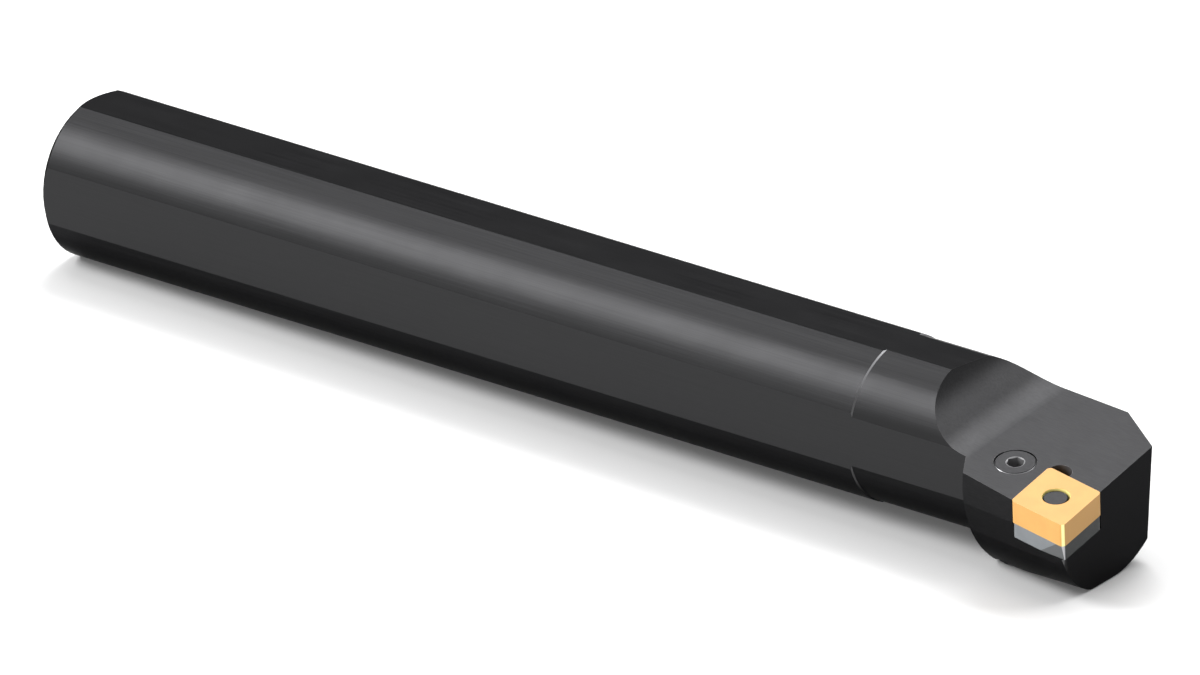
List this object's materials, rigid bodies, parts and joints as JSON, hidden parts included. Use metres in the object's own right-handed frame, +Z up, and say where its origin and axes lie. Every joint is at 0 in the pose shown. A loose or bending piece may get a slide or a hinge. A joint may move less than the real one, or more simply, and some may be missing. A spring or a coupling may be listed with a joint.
{
  "type": "boring bar",
  "caption": "Long round boring bar with ground flats; its offset head seats a rhombic insert on a shim, clamped by a lever and a socket screw.",
  "frame": {"origin": "centre of the round shank's rear face", "axes": "+X along the bar's axis to the cutting end, +Z up on the rake side, square to the shank's upper flat; the nose of the insert points to -Y"},
  "size_m": [0.25, 0.0374, 0.0324],
  "materials": {
    "blackened_steel": "black oxide, satin",
    "bare_carbide": "ground, satin",
    "spring_steel": "rolled, satin",
    "coated_carbide": "gold coloured hard coating, satin",
    "lever_steel": "black oxide, satin",
    "screw_steel": "black oxide, satin"
  },
  "bodies": {
    "bar": {"bar_body": "blackened_steel", "shim": "bare_carbide", "shim_pin": "spring_steel", "insert": "coated_carbide"},
    "lever": {"lever": "lever_steel"},
    "lever_screw": {"lever_screw": "screw_steel"}
  },
  "joints": [
    {"name": "screw_travel", "type": "slide", "parent": "bar", "child": "lever_screw", "axis": [0.1029, -0.1736, 0.9794], "range_m": [0, 0.0004]},
    {"name": "lever_tilt", "type": "hinge", "parent": "bar", "child": "lever", "pos_m": [0.24197, -0.01333, -0.00938], "axis": [0.3311, 0.9345, 0.1309], "range_deg": [0, 2.22]}
  ],
  "couplings": [
    {"joint": "lever_tilt", "follows": "screw_travel", "rad_per_m": 96.618}
  ]
}
